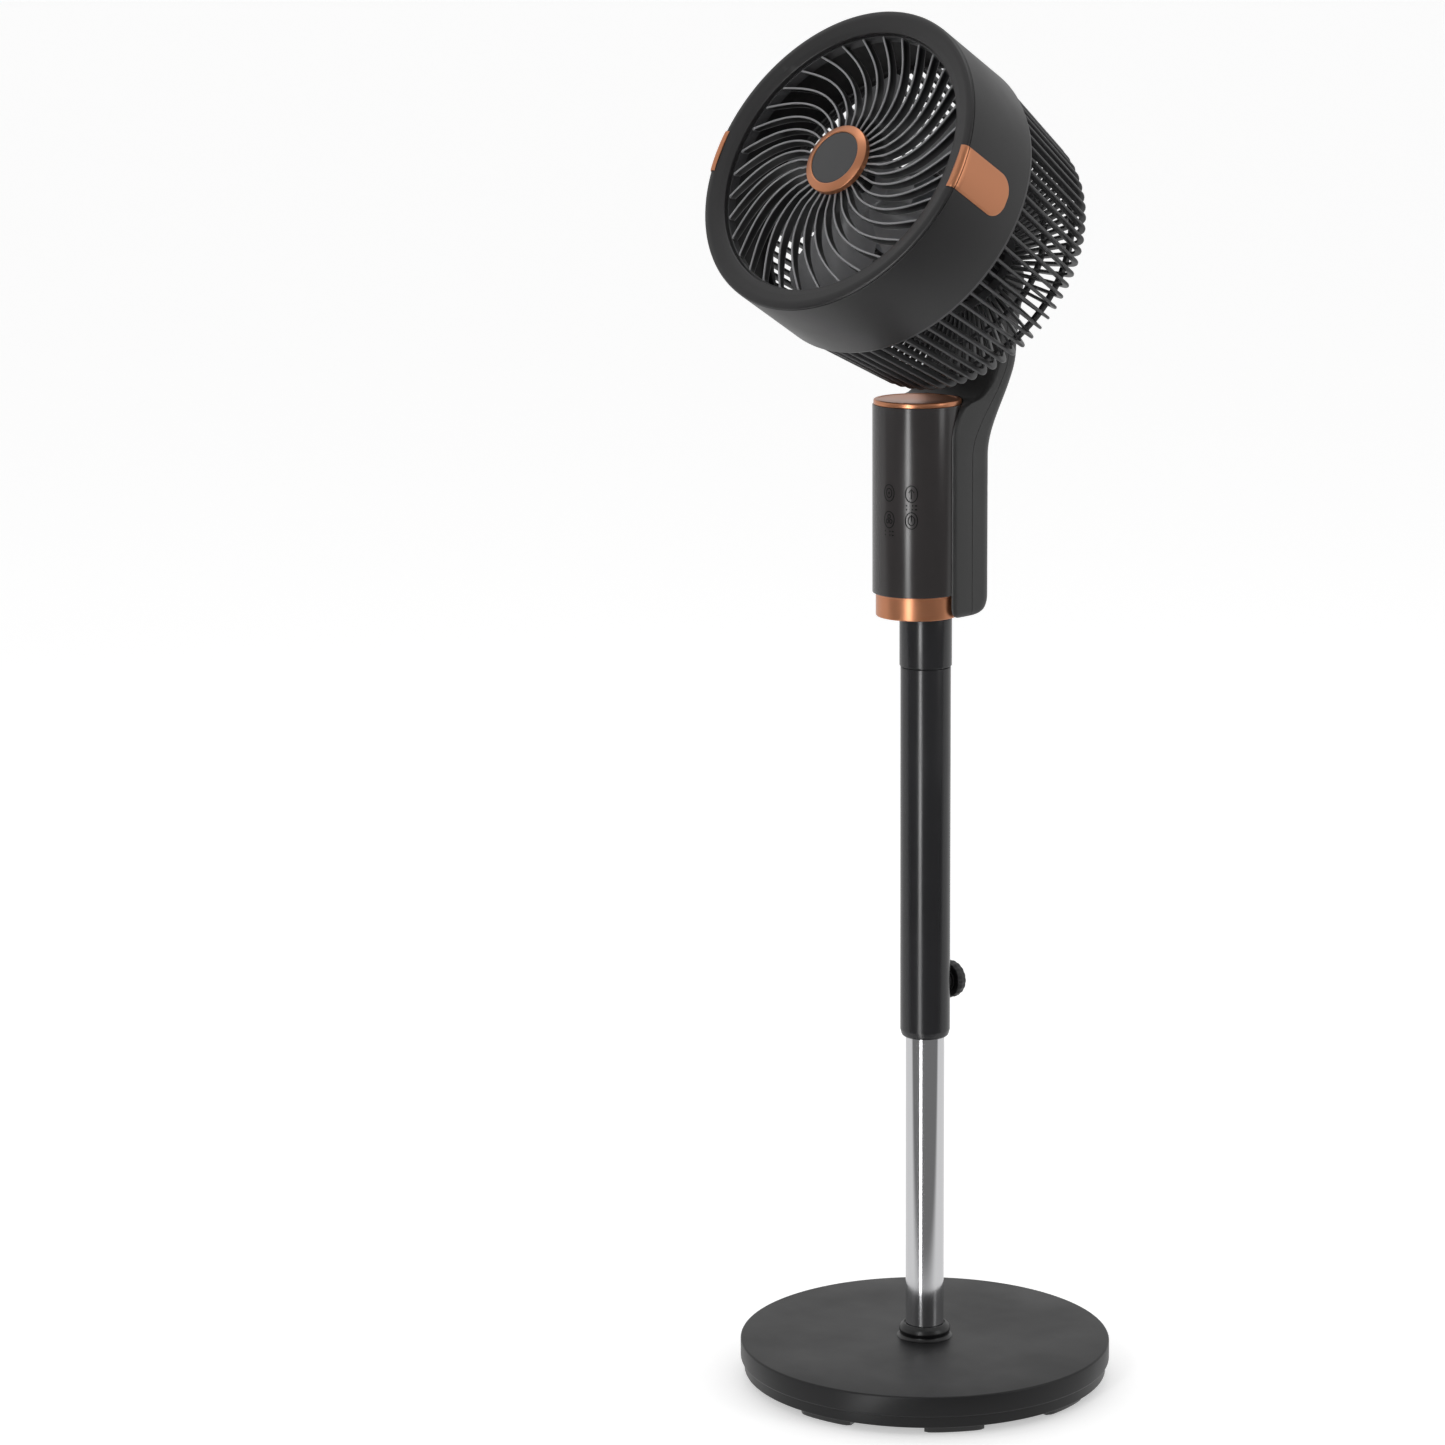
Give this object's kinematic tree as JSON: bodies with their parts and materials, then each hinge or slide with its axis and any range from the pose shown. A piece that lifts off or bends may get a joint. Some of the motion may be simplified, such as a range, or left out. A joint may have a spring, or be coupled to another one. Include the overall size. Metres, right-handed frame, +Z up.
{
  "type": "pedestal circulation fan",
  "caption": "Pedestal air-circulation fan with a drum head on a hooked arm, a swinging control column, a telescopic pole and a round weighted base.",
  "frame": {"origin": "on the floor, on the pole's axis, under the centre of the round base", "axes": "+Z up along the pole; -Y is the front, the way the head blows at rest; +X is the fan's left-hand side seen from behind, the right as seen by someone facing it"},
  "size_m": [0.3, 0.3164, 1.1011],
  "materials": {
    "rubber_black": "matte rubber",
    "base_black": "satin black powder coat",
    "underplate_black": "matte moulded plastic",
    "weight_steel": "grey primer on steel",
    "zinc_steel": "zinc plated",
    "chrome": "polished",
    "nylon_white": "natural nylon",
    "tube_charcoal": "satin charcoal",
    "knob_black": "matte moulded plastic",
    "copper_trim": "satin copper lacquer",
    "column_gloss": "gloss dark grey-brown",
    "arm_charcoal": "fine satin moulded plastic",
    "shroud_charcoal": "fine satin moulded plastic",
    "grille_charcoal": "satin moulded plastic",
    "hub_grey": "smooth satin",
    "blade_grey": "semi-gloss grey",
    "circuit_green": "solder mask",
    "gear_ivory": "acetal",
    "stator_copper": "enamelled copper winding",
    "motor_steel": "plain steel"
  },
  "bodies": {
    "base": {"base_feet": "rubber_black", "base_underplate": "underplate_black", "base_weight": "weight_steel", "base_cover": "base_black", "base_screws": "zinc_steel", "pole_flange": "zinc_steel", "pole_collar": "rubber_black", "inner_pole": "chrome", "pole_top_guide": "nylon_white"},
    "mast": {"outer_tube": "tube_charcoal", "guide_bush": "nylon_white", "clamp_boss": "knob_black", "top_sleeve": "tube_charcoal", "swing_spindle": "zinc_steel", "thrust_washer": "nylon_white", "swing_gear": "gear_ivory", "spindle_nut": "zinc_steel"},
    "clamp_screw": {"clamp_pad": "nylon_white"},
    "clamp_knob": {"clamp_knob": "knob_black", "clamp_stud": "zinc_steel"},
    "column": {"column_base": "underplate_black", "bottom_ring": "copper_trim", "column_shell": "column_gloss", "top_cap": "copper_trim", "touch_board": "circuit_green", "control_board": "circuit_green", "swing_motor": "motor_steel", "swing_motor_plate": "zinc_steel", "arm_front": "arm_charcoal", "arm_rear_cover": "arm_charcoal", "arm_screws": "zinc_steel", "tilt_bracket": "zinc_steel", "tilt_axle": "zinc_steel", "tilt_motor": "motor_steel", "power_inlet": "knob_black"},
    "swing_pinion": {"swing_pinion": "gear_ivory"},
    "tilt_pinion": {"tilt_pinion": "gear_ivory"},
    "fan_head": {"head_shroud": "shroud_charcoal", "front_bezel": "shroud_charcoal", "front_grille": "grille_charcoal", "hub_ring": "copper_trim", "hub_cap": "hub_grey", "side_trims": "copper_trim", "rear_cage": "grille_charcoal", "cage_screws": "zinc_steel", "motor_housing": "grille_charcoal", "motor_endplate": "motor_steel", "motor_stator": "stator_copper", "rear_bearing": "motor_steel", "front_bearing": "motor_steel", "tilt_lug": "grille_charcoal", "tilt_sector": "gear_ivory"},
    "rotor": {"motor_rotor": "motor_steel", "impeller": "blade_grey", "impeller_nut": "grille_charcoal"}
  },
  "joints": [
    {"name": "mast_height", "type": "slide", "parent": "base", "child": "mast", "axis": [0, 0, 1], "range_m": [-0.2, 0.01]},
    {"name": "clamp_travel", "type": "slide", "parent": "mast", "child": "clamp_screw", "axis": [0, 1, 0], "range_m": [0, 0.00121]},
    {"name": "clamp_turn", "type": "hinge", "parent": "clamp_screw", "child": "clamp_knob", "pos_m": [0, 0.03, 0.327], "axis": [0, 1, 0], "range_deg": [0, 360]},
    {"name": "swing", "type": "hinge", "parent": "mast", "child": "column", "pos_m": [0, 0, 0.63], "axis": [0, 0, 1], "range_deg": [-45, 45]},
    {"name": "swing_pinion_spin", "type": "hinge", "parent": "column", "child": "swing_pinion", "pos_m": [0, -0.023, 0.655], "axis": [0, 0, 1], "range_deg": [-130, 130]},
    {"name": "tilt", "type": "hinge", "parent": "column", "child": "fan_head", "pos_m": [0, 0.07088, 0.89119], "axis": [-1, 0, 0], "range_deg": [-5, 60]},
    {"name": "tilt_pinion_spin", "type": "hinge", "parent": "column", "child": "tilt_pinion", "pos_m": [0, 0.06596, 0.87284], "axis": [-1, 0, 0], "range_deg": [-170, 16]},
    {"name": "impeller_spin", "type": "hinge", "parent": "fan_head", "child": "rotor", "pos_m": [0, -0.1018, 0.9921], "axis": [0, -0.8634, 0.5045], "continuous": true}
  ],
  "couplings": [
    {"joint": "swing_pinion_spin", "follows": "swing", "ratio": 2.8333},
    {"joint": "tilt_pinion_spin", "follows": "tilt", "ratio": -2.8},
    {"joint": "clamp_travel", "follows": "clamp_turn", "m_per_rad": 0.00019099}
  ]
}
